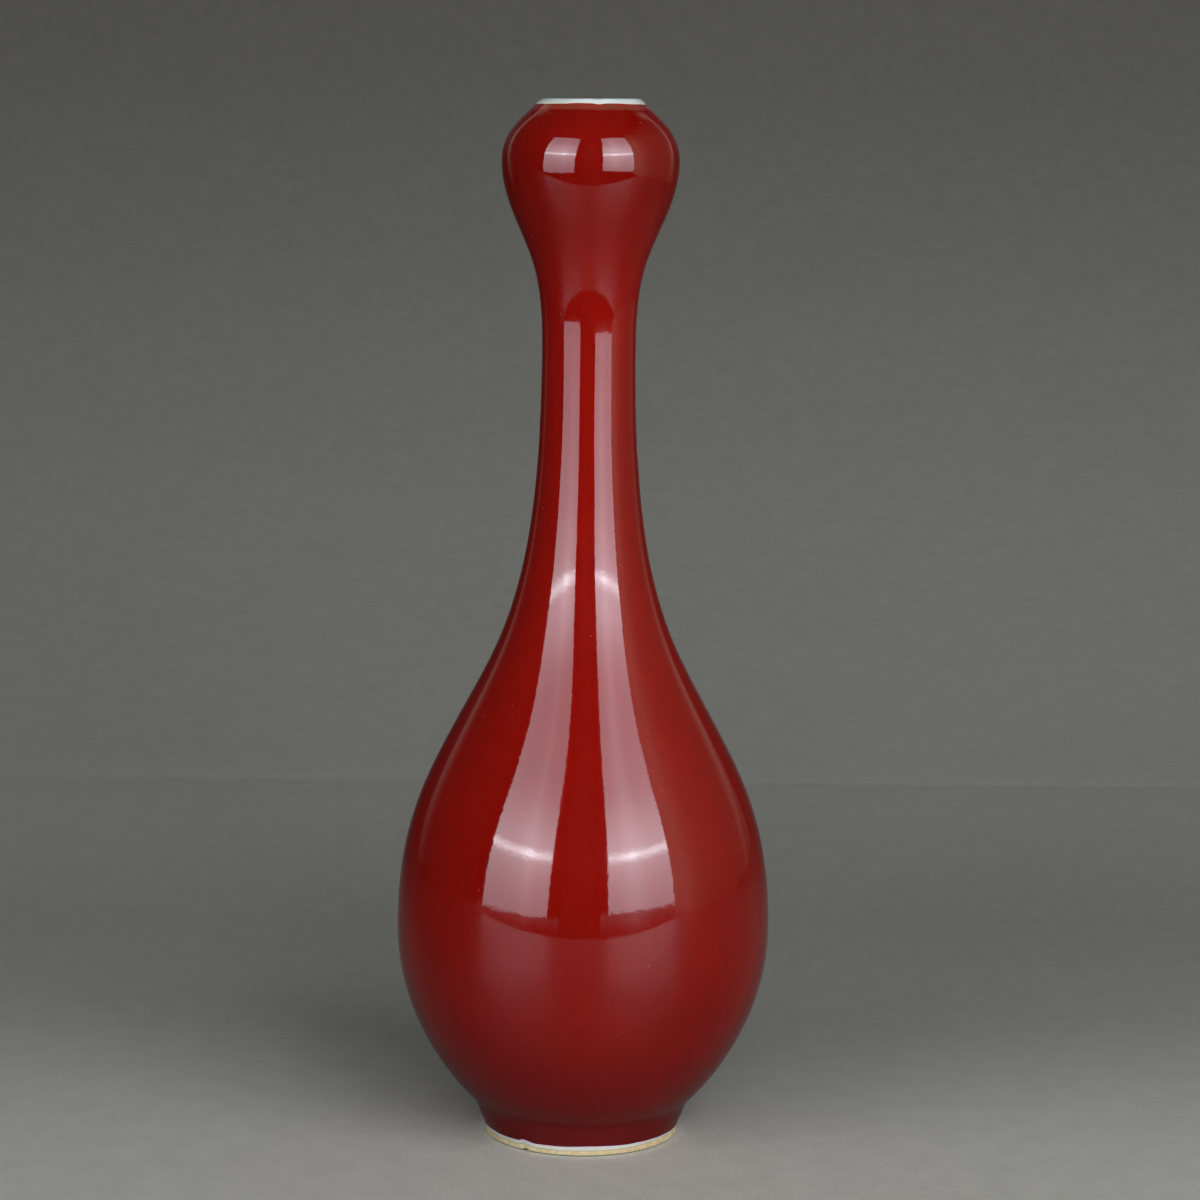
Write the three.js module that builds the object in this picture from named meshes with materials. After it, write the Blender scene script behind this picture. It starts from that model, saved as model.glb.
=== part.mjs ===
// Garlic-head bottle vase in red-glazed porcelain, 320 mm tall.
// Millimetres, +Z up. The origin is the centre of the ring that the foot stands on.
//
// The pot is thrown in four sections that are luted end to end with slip: a lower body with
// the turned foot, an upper body, a neck and the garlic head with its lip. A red glaze coats
// the outside from the foot line to the rim line, and a thin white glaze line edges it at the
// foot. A clear glaze starts at the rim line, rolls over the lip and coats the whole inside,
// and another coats the recess under the base.
//
// Every layer is measured inwards from one finished outer profile, so the glazes, the clay
// and the slip joints stay face to face when a size changes.
import * as THREE from "three";

// Finished outer profile: a radius and a height at each turning point of the form, and the
// slope there in degrees above the outward horizontal where it isn't upright. The heights of
// the foot, belly and shoulder go up from the ground, and those of the neck and head hang from
// the rim. A fullness is how far a curve follows its slope, as a share of the way to the next
// turning point.
const FOOT_RADIUS = 30.5; // upright up to the foot line
const FOOT_TOP_RADIUS = 31.8; // the foot wall leans out up to here
const FOOT_TOP_HEIGHT = 6.5;
const FOOT_TOP_SLOPE = 71.5;
const FOOT_FULLNESS = 0.33;
const COVE_FULLNESS = 0.35;
const ROOT_RADIUS = 34.8; // the body springs from the foot
const ROOT_HEIGHT = 12.2;
const ROOT_SLOPE = 44.5;
const ROOT_FULLNESS = 0.23;
const BELLY_RADIUS = 57.7; // the widest girth
const BELLY_HEIGHT = 65.4;
const BELLY_LOWER_FULLNESS = 0.42;
const BELLY_UPPER_FULLNESS = 0.44;
const SHOULDER_RADIUS = 37.45; // the full body turns into the hollow neck
const SHOULDER_HEIGHT = 134.4;
const SHOULDER_SLOPE = 118.5;
const SHOULDER_LOWER_FULLNESS = 0.36;
const SHOULDER_UPPER_FULLNESS = 0.23;
const NECK_RADIUS = 14.3; // the narrowest girth
const NECK_TO_FLARE_HEIGHT = 34.7;
const NECK_LOWER_FULLNESS = 0.62;
const NECK_UPPER_FULLNESS = 0.58;
const FLARE_RADIUS = 20.8; // the hollow neck turns into the full head
const FLARE_TO_HEAD_HEIGHT = 21.4;
const FLARE_SLOPE = 67;
const FLARE_LOWER_FULLNESS = 0.27;
const FLARE_UPPER_FULLNESS = 0.18;
const HEAD_RADIUS = 26.95; // the garlic head's widest girth
const HEAD_TO_RIM_HEIGHT = 17.5;
const HEAD_LOWER_FULLNESS = 0.4;
const HEAD_UPPER_FULLNESS = 0.45;
const RIM_RADIUS = 16.55; // the red glaze stops here and the white lip begins
const RIM_HEIGHT = 318.6;
const RIM_SLOPE = 136.5;
const RIM_FULLNESS = 0.31;
const LIP_LENGTH = 1.8; // the lip runs on straight this far before it rounds over

// Foot ring, recess and floor
const FOOT_LINE_HEIGHT = 3.1; // the red glaze stops here
const WHITE_LINE_WIDTH = 1.5;
const FOOT_RING_WIDTH = 3.9;
const FOOT_ROUNDING = 0.35; // the bare outer edge is rounded over by this much
const FOOT_ROUNDING_HEIGHT = 1.1;
const FOOT_INNER_BEVEL = 0.8;
const RECESS_DEPTH = 5.6;
const RECESS_FILLET = 2;
const BASE_GLAZE_EDGE = 1.8; // the base glaze stops this far above the ground
const FLOOR_THICKNESS = 5.4; // clay and clear glaze between the recess and the inside
const ROOT_TO_FLOOR_BLEND_HEIGHT = 19; // the inside wall turns into the floor from there down
const FLOOR_BLEND_REACH = 22;
const FLOOR_FLAT_REACH = 28;

// Wall and glaze thicknesses
const WALL_FOOT = 6.2; // whole wall with its glazes, where the body springs from the foot
const WALL_BELLY = 4.4;
const WALL_NECK = 3.6; // from the neck up to the lip
const RED_GLAZE = 0.5;
const WHITE_LINE_GLAZE = 0.3;
const CLEAR_GLAZE = 0.4;

// Luted seams: one at the belly, one at the base of the neck and one under the head
const SHOULDER_TO_NECK_SEAM_HEIGHT = 44;
const HEAD_SEAM_TO_FLARE_HEIGHT = 17;
const SLIP_THICKNESS = 0.6;
const SEAM_MARGIN_WIDTH = 1.8; // no ring of corners comes closer to a seam

// Fineness of the turned surfaces
const STEPS_ROUND = 32;
const STEPS_FOOT = 1;
const STEPS_COVE = 2;
const STEPS_BODY = 5;
const STEPS_NECK = 6;
const STEPS_FLARE = 4;
const STEPS_HEAD = 3;
const STEPS_MOUTH = 4;
const STEPS_ARC = 3;
const STEPS_FLOOR = 3;

const RED = { color: 0x850a08, roughness: 0.12, metalness: 0 };
const WHITE = { color: 0xced7d6, roughness: 0.15, metalness: 0 };
const BISCUIT = { color: 0xd4caa4, roughness: 0.8, metalness: 0 };
const SLIP = { color: 0xc9bfa6, roughness: 0.85, metalness: 0 };

const UPRIGHT = 90;
const SEARCH_TOLERANCE = 1e-9; // share of a curve to which a height is found on it
const point = (radius, height) => new THREE.Vector2(radius, height);

// Unit vector at an angle in degrees above the outward horizontal.
function heading(degrees) {
  const angle = THREE.MathUtils.degToRad(degrees);
  return point(Math.cos(angle), Math.sin(angle));
}

// One smooth stretch of the profile. Each end has its point, slope and fullness.
function stretch(steps, [start, startSlope, startFullness], [end, endSlope, endFullness]) {
  const way = start.distanceTo(end);
  const curve = new THREE.CubicBezierCurve(
    start,
    start.clone().addScaledVector(heading(startSlope), startFullness * way),
    end.clone().addScaledVector(heading(endSlope), -endFullness * way),
    end,
  );
  return { curve, steps };
}

const footLine = point(FOOT_RADIUS, FOOT_LINE_HEIGHT);
const footTop = point(FOOT_TOP_RADIUS, FOOT_TOP_HEIGHT);
const root = point(ROOT_RADIUS, ROOT_HEIGHT);
const belly = point(BELLY_RADIUS, BELLY_HEIGHT);
const shoulder = point(SHOULDER_RADIUS, SHOULDER_HEIGHT);
const rim = point(RIM_RADIUS, RIM_HEIGHT);
const girth = point(HEAD_RADIUS, rim.y - HEAD_TO_RIM_HEIGHT);
const flare = point(FLARE_RADIUS, girth.y - FLARE_TO_HEAD_HEIGHT);
const waist = point(NECK_RADIUS, flare.y - NECK_TO_FLARE_HEIGHT);

const profile = [
  stretch(STEPS_FOOT, [footLine, UPRIGHT, FOOT_FULLNESS], [footTop, FOOT_TOP_SLOPE, FOOT_FULLNESS]),
  stretch(STEPS_COVE, [footTop, FOOT_TOP_SLOPE, COVE_FULLNESS], [root, ROOT_SLOPE, COVE_FULLNESS]),
  stretch(STEPS_BODY, [root, ROOT_SLOPE, ROOT_FULLNESS], [belly, UPRIGHT, BELLY_LOWER_FULLNESS]),
  stretch(
    STEPS_BODY,
    [belly, UPRIGHT, BELLY_UPPER_FULLNESS],
    [shoulder, SHOULDER_SLOPE, SHOULDER_LOWER_FULLNESS],
  ),
  stretch(
    STEPS_NECK,
    [shoulder, SHOULDER_SLOPE, SHOULDER_UPPER_FULLNESS],
    [waist, UPRIGHT, NECK_LOWER_FULLNESS],
  ),
  stretch(STEPS_FLARE, [waist, UPRIGHT, NECK_UPPER_FULLNESS], [flare, FLARE_SLOPE, FLARE_LOWER_FULLNESS]),
  stretch(STEPS_HEAD, [flare, FLARE_SLOPE, FLARE_UPPER_FULLNESS], [girth, UPRIGHT, HEAD_LOWER_FULLNESS]),
  stretch(STEPS_MOUTH, [girth, UPRIGHT, HEAD_UPPER_FULLNESS], [rim, RIM_SLOPE, RIM_FULLNESS]),
];

// The finished outer surface at a height, with the directions along it and into the wall.
function profileAt(height) {
  const { curve } = profile.find((p) => height <= p.curve.getPoint(1).y) ?? profile.at(-1);
  let low = 0;
  let high = 1;
  while (high - low > SEARCH_TOLERANCE) {
    const middle = (low + high) / 2;
    if (curve.getPoint(middle).y < height) low = middle;
    else high = middle;
  }
  const along = curve.getTangent(high);
  return { place: curve.getPoint(high), along, inward: point(-along.y, along.x) };
}

// Whole wall thickness, thick at the foot and thin in the neck.
function wallAt(height) {
  const toBelly = THREE.MathUtils.smoothstep(height, ROOT_HEIGHT, BELLY_HEIGHT);
  const toNeck = THREE.MathUtils.smoothstep(height, BELLY_HEIGHT, waist.y);
  return WALL_FOOT + (WALL_BELLY - WALL_FOOT) * toBelly + (WALL_NECK - WALL_BELLY) * toNeck;
}

// Faces between the layers of the wall, each given by its depth at a height.
const surface = () => 0;
const underRed = () => RED_GLAZE;
const underClear = (height) => wallAt(height) - CLEAR_GLAZE;
const inside = (height) => wallAt(height);

// Points on one of those faces, at a list of heights.
function face(depth, heights) {
  return heights.map((height) => {
    const { place, inward } = profileAt(height);
    return place.clone().addScaledVector(inward, depth(height));
  });
}

const bellySeam = BELLY_HEIGHT;
const neckSeam = SHOULDER_HEIGHT + SHOULDER_TO_NECK_SEAM_HEIGHT;
const headSeam = flare.y - HEAD_SEAM_TO_FLARE_HEIGHT;
const below = (seam) => seam - SLIP_THICKNESS / 2;
const above = (seam) => seam + SLIP_THICKNESS / 2;
const seams = [bellySeam, neckSeam, headSeam];
const seamEdges = seams.flatMap((seam) => [below(seam), above(seam)]);

// Heights of the rings of corners that all the layers share. A ring that would crowd a seam
// is left out.
function ringHeights() {
  const heights = [FOOT_LINE_HEIGHT];
  for (const { curve, steps } of profile) {
    for (let i = 1; i <= steps; i++) heights.push(curve.getPoint(i / steps).y);
  }
  const isRoomy = (height) => seams.every((seam) => Math.abs(height - seam) > SEAM_MARGIN_WIDTH);
  return [...heights.filter(isRoomy), ...seamEdges].sort((a, b) => a - b);
}

// The inside is coarser: it has every second ring, and those that it can't do without.
const outsideRings = ringHeights();
const topRing = outsideRings.at(-1);
const neededInside = [...seamEdges, waist.y, topRing];
const insideRings = outsideRings.filter((height, i) => i % 2 === 0 || neededInside.includes(height));
const floorBlendHeight = ROOT_HEIGHT + ROOT_TO_FLOOR_BLEND_HEIGHT;
const outsideBetween = (low, high) => outsideRings.filter((h) => h >= low && h <= high);
const insideBetween = (low, high) => insideRings.filter((h) => h >= low && h <= high).reverse();

// Points of an arc from one heading to another, both included.
function arc(centre, radius, fromDegrees, toDegrees, steps) {
  return Array.from({ length: steps + 1 }, (_, i) => {
    const degrees = THREE.MathUtils.lerp(fromDegrees, toDegrees, i / steps);
    return centre.clone().addScaledVector(heading(degrees), radius);
  });
}

// The round lip, from the outside over to the inside, inset from the finished surface. It
// caps the middle line of the wall, which runs on past the rim line.
function lip(inset) {
  const { place, along, inward } = profileAt(topRing);
  const centre = place.clone();
  centre.addScaledVector(inward, WALL_NECK / 2);
  centre.addScaledVector(along, LIP_LENGTH);
  return arc(centre, WALL_NECK / 2 - inset, RIM_SLOPE - UPRIGHT, RIM_SLOPE + UPRIGHT, 2 * STEPS_ARC);
}

// The inside of the floor, from the end of the wall down to the middle.
function bowl(depth, floorHeight) {
  const [wallEnd, wallNext] = face(depth, insideBetween(floorBlendHeight, topRing).reverse());
  const down = wallEnd.clone().sub(wallNext).normalize();
  const curve = new THREE.CubicBezierCurve(
    wallEnd,
    wallEnd.clone().addScaledVector(down, FLOOR_BLEND_REACH),
    point(FLOOR_FLAT_REACH, floorHeight),
    point(0, floorHeight),
  );
  return curve.getPoints(STEPS_FLOOR).slice(1);
}

const bareFootRadius = FOOT_RADIUS - RED_GLAZE;
const recessRadius = bareFootRadius - FOOT_RING_WIDTH;
const glazedFloor = RECESS_DEPTH + FLOOR_THICKNESS;
const clayFloor = glazedFloor - CLEAR_GLAZE;

// The recess under the base, from the glaze edge on its wall to its middle.
function recess(inset) {
  const wallRadius = recessRadius + inset;
  const ceiling = RECESS_DEPTH + inset;
  const centre = point(wallRadius - RECESS_FILLET, ceiling - RECESS_FILLET);
  return [
    point(wallRadius, BASE_GLAZE_EDGE),
    ...arc(centre, RECESS_FILLET, 0, UPRIGHT, STEPS_ARC),
    point(0, ceiling),
  ];
}

// Bare clay from the middle of the recess, round the foot ring, up to the foot line. The
// recess is one glaze deeper in the clay than it is when glazed.
function clayFoot() {
  const rounding = new THREE.QuadraticBezierCurve(
    point(bareFootRadius - FOOT_ROUNDING, 0),
    point(bareFootRadius, 0),
    point(bareFootRadius, FOOT_ROUNDING_HEIGHT),
  );
  return [
    ...recess(CLEAR_GLAZE).reverse(),
    point(recessRadius, BASE_GLAZE_EDGE),
    point(recessRadius, FOOT_INNER_BEVEL),
    point(recessRadius + FOOT_INNER_BEVEL, 0),
    ...rounding.getPoints(STEPS_ARC),
    point(bareFootRadius, FOOT_LINE_HEIGHT - WHITE_LINE_WIDTH),
  ];
}

// A loop turned into a solid of revolution about the Z axis. A loop that doesn't run from
// axis to axis is closed on itself.
function turned(name, material, loop) {
  const meetsAxis = loop[0].x === 0 && loop.at(-1).x === 0;
  const outline = meetsAxis ? loop : [...loop, loop[0].clone()];
  const geometry = new THREE.LatheGeometry(outline, STEPS_ROUND).rotateX(Math.PI / 2);
  const mesh = new THREE.Mesh(geometry, new THREE.MeshStandardMaterial(material));
  mesh.name = name;
  return mesh;
}

// A section of clay or slip between two heights.
function section(name, material, low, high) {
  return turned(name, material, [
    ...face(underRed, outsideBetween(low, high)),
    ...face(underClear, insideBetween(low, high)),
  ]);
}

function lowerBody() {
  const top = below(bellySeam);
  return turned("lower_body", BISCUIT, [
    ...clayFoot(),
    ...face(underRed, outsideBetween(FOOT_LINE_HEIGHT, top)),
    ...face(underClear, insideBetween(floorBlendHeight, top)),
    ...bowl(underClear, clayFloor),
  ]);
}

function garlicHead() {
  return turned("garlic_head", BISCUIT, [
    ...face(underRed, outsideBetween(above(headSeam), topRing)),
    ...lip(CLEAR_GLAZE),
    ...face(underClear, insideBetween(above(headSeam), topRing)),
  ]);
}

function redGlaze() {
  return turned("red_glaze", RED, [
    ...face(surface, outsideRings),
    ...face(underRed, [...outsideRings].reverse()),
  ]);
}

function whiteFootLine() {
  const outer = bareFootRadius + WHITE_LINE_GLAZE;
  const lowEdge = FOOT_LINE_HEIGHT - WHITE_LINE_WIDTH;
  return turned("white_foot_line", WHITE, [
    point(bareFootRadius, lowEdge),
    point(outer, lowEdge),
    point(outer, FOOT_LINE_HEIGHT),
    point(bareFootRadius, FOOT_LINE_HEIGHT),
  ]);
}

function clearInnerGlaze() {
  const wall = insideBetween(floorBlendHeight, topRing);
  const claySide = [
    ...face(underRed, [topRing]),
    ...lip(CLEAR_GLAZE),
    ...face(underClear, wall),
    ...bowl(underClear, clayFloor),
  ];
  return turned("clear_inner_glaze", WHITE, [
    ...claySide.reverse(),
    ...face(surface, [topRing]),
    ...lip(0),
    ...face(inside, wall),
    ...bowl(inside, glazedFloor),
  ]);
}

function baseGlaze() {
  return turned("base_glaze", WHITE, [...recess(0).reverse(), ...recess(CLEAR_GLAZE)]);
}

const vase = new THREE.Group();
vase.add(
  lowerBody(),
  section("belly_slip_joint", SLIP, below(bellySeam), above(bellySeam)),
  section("upper_body", BISCUIT, above(bellySeam), below(neckSeam)),
  section("neck_slip_joint", SLIP, below(neckSeam), above(neckSeam)),
  section("neck", BISCUIT, above(neckSeam), below(headSeam)),
  section("head_slip_joint", SLIP, below(headSeam), above(headSeam)),
  garlicHead(),
  redGlaze(),
  whiteFootLine(),
  clearInnerGlaze(),
  baseGlaze(),
);

export default vase;
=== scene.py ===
"""Looks of the garlic-head vase, in metres, +Z up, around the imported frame.

Every piece is turned from one finished outer profile. A layer of the wall is that profile moved
inwards by a depth, so the glazes and the clay meet face to face, as they do in the frame.
"""
import math

import bpy
import numpy as np
from mathutils import Matrix


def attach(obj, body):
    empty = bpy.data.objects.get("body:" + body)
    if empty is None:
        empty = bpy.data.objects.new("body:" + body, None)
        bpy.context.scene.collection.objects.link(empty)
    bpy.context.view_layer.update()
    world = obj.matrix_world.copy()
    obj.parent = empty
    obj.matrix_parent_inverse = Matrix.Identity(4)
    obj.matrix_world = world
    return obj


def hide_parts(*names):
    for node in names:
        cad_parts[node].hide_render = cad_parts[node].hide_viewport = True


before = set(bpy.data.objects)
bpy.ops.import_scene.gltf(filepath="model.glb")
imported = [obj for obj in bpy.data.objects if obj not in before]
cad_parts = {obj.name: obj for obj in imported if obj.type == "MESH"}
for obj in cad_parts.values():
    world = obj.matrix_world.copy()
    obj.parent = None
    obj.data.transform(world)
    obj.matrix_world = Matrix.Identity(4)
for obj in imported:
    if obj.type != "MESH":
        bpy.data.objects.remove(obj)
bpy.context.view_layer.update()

# Finished outer profile: radius and height at each turning point, and the slopes in degrees
FOOT_RADIUS = 0.0305
FOOT_LINE_HEIGHT = 0.0031
FOOT_TOP = (0.0318, 0.0065)
FOOT_TOP_SLOPE = 71.5
FOOT_FULLNESS = 0.33
COVE_FULLNESS = 0.35
ROOT = (0.0348, 0.0122)
ROOT_SLOPE = 44.5
ROOT_FULLNESS = 0.23
BELLY = (0.0577, 0.0654)
BELLY_LOWER_FULLNESS = 0.42
BELLY_UPPER_FULLNESS = 0.44
SHOULDER = (0.03745, 0.1344)
SHOULDER_SLOPE = 118.5
SHOULDER_LOWER_FULLNESS = 0.36
SHOULDER_UPPER_FULLNESS = 0.23
WAIST = (0.0143, 0.245)
WAIST_LOWER_FULLNESS = 0.62
WAIST_UPPER_FULLNESS = 0.58
FLARE = (0.0208, 0.2797)
FLARE_SLOPE = 67
FLARE_LOWER_FULLNESS = 0.27
FLARE_UPPER_FULLNESS = 0.18
HEAD = (0.02695, 0.3011)
HEAD_LOWER_FULLNESS = 0.4
HEAD_UPPER_FULLNESS = 0.45
RIM = (0.01655, 0.3186)
RIM_SLOPE = 136.5
RIM_FULLNESS = 0.31
LIP_LENGTH = 0.0018
UPRIGHT = 90

# Wall, glazes, foot ring and floor
WALL_FOOT = 0.0062
WALL_BELLY = 0.0044
WALL_NECK = 0.0036
RED_GLAZE = 0.0005
WHITE_LINE_GLAZE = 0.0003
WHITE_LINE_BULGE = 3
CLEAR_GLAZE = 0.0004
WHITE_LINE_WIDTH = 0.0015
FOOT_RING_WIDTH = 0.0039
FOOT_ROUNDING = 0.0005
FOOT_ROUNDING_HEIGHT = 0.0009
FOOT_UNDERCUT = 0.0003
FOOT_INNER_BEVEL = 0.0008
RECESS_DEPTH = 0.0056
RECESS_FILLET = 0.002
BASE_GLAZE_EDGE = 0.0018
FLOOR_THICKNESS = 0.0054
FLOOR_BLEND_HEIGHT = 0.0312
FLOOR_BLEND_REACH = 0.022
FLOOR_FLAT_REACH = 0.028
SEAM_HEIGHTS = (0.0654, 0.1784, 0.2627)
SLIP_THICKNESS = 0.0006

# Handwork: ragged glaze edges, throwing waves, tilt and dip of the lip, nick in the foot
FOOT_EDGE_RAGGED = 0.00003
FOOT_EDGE_SEED = 3
FOOT_EDGE_WAVES = (5, 40)
RIM_EDGE_RAGGED = 0.00007
RIM_EDGE_SEED = 5
RIM_EDGE_WAVES = (3, 16)
RIM_EDGE_RISE = 0.00035
WHITE_EDGE_RAGGED = 0.00005
WHITE_EDGE_SEED = 7
WHITE_EDGE_WAVES = (3, 30)
RAGGED_FALL = 0.6
EDGE_FADE = 0.004
GLAZE_BEAD = 0.00035
BEAD_ROWS = (0, 0.25, 0.6)
BEAD_ROUNDING = 0.45
THROWING_WAVE = 0.000006
THROWING_SEED = 11
THROWING_ROUNDS_AND_RISES = ((0, 0.019), (1, 0.045), (2, 0.031), (3, 0.06), (2, 0.014), (5, 0.05))
LIP_TILT = 0.00013
LIP_SAG = 0.00006
LIP_SIDE_DROP = 0.00042
DIP_AZIMUTH = 8
DIP_DEPTH = 0.0004
LIP_DIP_DEPTH = 0.00025
DIP_WIDTH = 0.0013
NICK_AZIMUTH = -34.5
NICK_HEIGHT = 0.00055
NICK_WIDTH = 0.0009
NICK_REACH = 0.0013
NICK_INWARD = 0.4
NICK_PUSH = 0.00055
NICK_PUSH_AZIMUTH = -36
NICK_PUSH_LEFT = 0.0010
NICK_PUSH_RIGHT = 0.0026
FRONT_RISE = 0.0002
FRONT_RISE_AZIMUTH = 4
FRONT_RISE_WIDTH = 0.0065
WHITE_THIN_LEFT = 0.0003
WHITE_THIN_LEFT_START = (36, 58)
WHITE_THIN_RIGHT = 0.0007
WHITE_THIN_RIGHT_START = (28, 50)
WHITE_THIN_RIGHT_EASED = 0.6
WHITE_THIN_RIGHT_END = (90, 175)

# Fineness
COLUMNS = 256
NICK_COLUMNS = 24
NICK_SPREAD = 8
FINE_STEP = 0.0016
INSIDE_STEP = 0.004
HIDDEN_STEP = 0.008
ARC_STEPS = 12
FOOT_RINGS = 12
FOOT_CORNER_STEPS = 6
RECESS_RINGS = (0.018, 0.012, 0.006)
WHITE_LINE_ROWS = 8
LIP_RUN_ROWS = 4
WALL_END_STEP = 0.001
SHARP_ANGLE = 38
PROFILE_STEPS = 800


def heading(degrees):
    """Unit vector at an angle above the outward horizontal."""
    return np.array([math.cos(math.radians(degrees)), math.sin(math.radians(degrees))])


def bezier(control, steps):
    """Points of a cubic curve and its unit directions there."""
    t = np.linspace(0, 1, steps + 1)[:, None]
    a, b, c, d = (np.array(p) for p in control)
    points = (1 - t) ** 3 * a + 3 * (1 - t) ** 2 * t * b + 3 * (1 - t) * t**2 * c + t**3 * d
    along = (1 - t) ** 2 * (b - a) + 2 * (1 - t) * t * (c - b) + t**2 * (d - c)
    return points, along / np.linalg.norm(along, axis=1, keepdims=True)


def stretch(start, start_slope, start_fullness, end, end_slope, end_fullness):
    """Control points of one smooth stretch of the profile."""
    start, end = np.array(start), np.array(end)
    way = np.linalg.norm(end - start)
    return (
        start,
        start + heading(start_slope) * start_fullness * way,
        end - heading(end_slope) * end_fullness * way,
        end,
    )


def straight(start, end):
    """Control points of a straight stretch."""
    start, end = np.array(start), np.array(end)
    return start, start + (end - start) / 3, end - (end - start) / 3, end


foot_line = np.array((FOOT_RADIUS, FOOT_LINE_HEIGHT))
lip_start = np.array(RIM) + heading(RIM_SLOPE) * LIP_LENGTH
stretches = [
    straight((FOOT_RADIUS, 0), foot_line),
    stretch(foot_line, UPRIGHT, FOOT_FULLNESS, FOOT_TOP, FOOT_TOP_SLOPE, FOOT_FULLNESS),
    stretch(FOOT_TOP, FOOT_TOP_SLOPE, COVE_FULLNESS, ROOT, ROOT_SLOPE, COVE_FULLNESS),
    stretch(ROOT, ROOT_SLOPE, ROOT_FULLNESS, BELLY, UPRIGHT, BELLY_LOWER_FULLNESS),
    stretch(BELLY, UPRIGHT, BELLY_UPPER_FULLNESS, SHOULDER, SHOULDER_SLOPE, SHOULDER_LOWER_FULLNESS),
    stretch(SHOULDER, SHOULDER_SLOPE, SHOULDER_UPPER_FULLNESS, WAIST, UPRIGHT, WAIST_LOWER_FULLNESS),
    stretch(WAIST, UPRIGHT, WAIST_UPPER_FULLNESS, FLARE, FLARE_SLOPE, FLARE_LOWER_FULLNESS),
    stretch(FLARE, FLARE_SLOPE, FLARE_UPPER_FULLNESS, HEAD, UPRIGHT, HEAD_LOWER_FULLNESS),
    stretch(HEAD, UPRIGHT, HEAD_UPPER_FULLNESS, RIM, RIM_SLOPE, RIM_FULLNESS),
    straight(RIM, lip_start),
]
sampled = [bezier(control, PROFILE_STEPS) for control in stretches]
profile_points = np.vstack([points[:-1] for points, _ in sampled] + [sampled[-1][0][-1:]])
profile_along = np.vstack([along[:-1] for _, along in sampled] + [sampled[-1][1][-1:]])
steps_along = np.linalg.norm(np.diff(profile_points, axis=0), axis=1)
profile_lengths = np.concatenate([[0], np.cumsum(steps_along)])


def length_at(height):
    """Length along the profile, from the ground up, at a height on it."""
    return np.interp(height, profile_points[:, 1], profile_lengths)


def profile_at(length):
    """Place and direction into the wall, at lengths along the profile."""
    place = np.stack([np.interp(length, profile_lengths, profile_points[:, i]) for i in (0, 1)], -1)
    along = np.stack([np.interp(length, profile_lengths, profile_along[:, i]) for i in (0, 1)], -1)
    along /= np.linalg.norm(along, axis=-1, keepdims=True)
    inward = np.stack([-along[..., 1], along[..., 0]], -1)
    return place, inward


FOOT_EDGE = length_at(FOOT_LINE_HEIGHT)
RIM_EDGE = length_at(RIM[1])
LIP_START = profile_lengths[-1]


def smoothstep(value, low, high):
    """From 0 to 1 between two values, with soft ends."""
    t = np.clip((value - low) / (high - low), 0, 1)
    return t * t * (3 - 2 * t)


def wall_at(height):
    """Whole wall thickness, thick at the foot and thin in the neck."""
    to_belly = smoothstep(height, ROOT[1], BELLY[1])
    to_neck = smoothstep(height, BELLY[1], WAIST[1])
    return WALL_FOOT + (WALL_BELLY - WALL_FOOT) * to_belly + (WALL_NECK - WALL_BELLY) * to_neck


def column_angles():
    """Columns of the turned surfaces: even all round, and closer together at the nick."""
    middle = NICK_AZIMUTH - UPRIGHT
    even = middle - 180 + np.arange(COLUMNS) * 360 / COLUMNS
    kept = even[np.abs(even - middle) > NICK_SPREAD]
    close = np.linspace(middle - NICK_SPREAD, middle + NICK_SPREAD, NICK_COLUMNS + 1)
    return np.radians(np.sort(np.concatenate([kept, close])))


ANGLES = column_angles()
AZIMUTHS = np.degrees(ANGLES) + UPRIGHT


def ragged(size, seed, waves):
    """An uneven line round the pot, drawn from a seed. Its waves, given by their counts round
    the pot, get smaller as they get shorter."""
    rng = np.random.default_rng(seed)
    line = np.zeros_like(ANGLES)
    for count in range(*waves):
        line += np.cos(count * ANGLES + rng.uniform(0, 2 * math.pi)) / count**RAGGED_FALL
    return size * line / line.std()


def hump(azimuth, radius, width_before, width_after):
    """A smooth hump round an azimuth, 1 at its top. The widths are real, at a radius."""
    away = np.radians(AZIMUTHS - azimuth) * radius
    width = np.where(away < 0, width_before, width_after)
    return np.exp(-((away / width) ** 2))


nick = hump(NICK_AZIMUTH, FOOT_RADIUS, NICK_WIDTH, NICK_WIDTH)
nick_push = NICK_PUSH * hump(NICK_PUSH_AZIMUTH, FOOT_RADIUS, NICK_PUSH_LEFT, NICK_PUSH_RIGHT)
dip = hump(DIP_AZIMUTH, RIM[0], DIP_WIDTH, DIP_WIDTH)
tilt = LIP_TILT * (np.cos(ANGLES) - 1)
front_rise = FRONT_RISE * hump(FRONT_RISE_AZIMUTH, FOOT_RADIUS, FRONT_RISE_WIDTH, FRONT_RISE_WIDTH)
foot_edge_line = ragged(FOOT_EDGE_RAGGED, FOOT_EDGE_SEED, FOOT_EDGE_WAVES) + nick_push + front_rise
rim_ragged = ragged(RIM_EDGE_RAGGED, RIM_EDGE_SEED, RIM_EDGE_WAVES)
side_drop = LIP_SIDE_DROP * np.cos(ANGLES) ** 2
rim_edge_line = RIM_EDGE_RISE + rim_ragged - DIP_DEPTH * dip + tilt - side_drop
wrapped = (AZIMUTHS + 180) % 360 - 180
eased = 1 - WHITE_THIN_RIGHT_EASED * smoothstep(wrapped, *WHITE_THIN_RIGHT_END)
thin_right = smoothstep(wrapped, *WHITE_THIN_RIGHT_START) * eased
thin_left = smoothstep(-wrapped, *WHITE_THIN_LEFT_START)
thinner = WHITE_THIN_RIGHT * thin_right + WHITE_THIN_LEFT * thin_left
white_edge_line = ragged(WHITE_EDGE_RAGGED, WHITE_EDGE_SEED, WHITE_EDGE_WAVES) + nick_push + thinner
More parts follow.
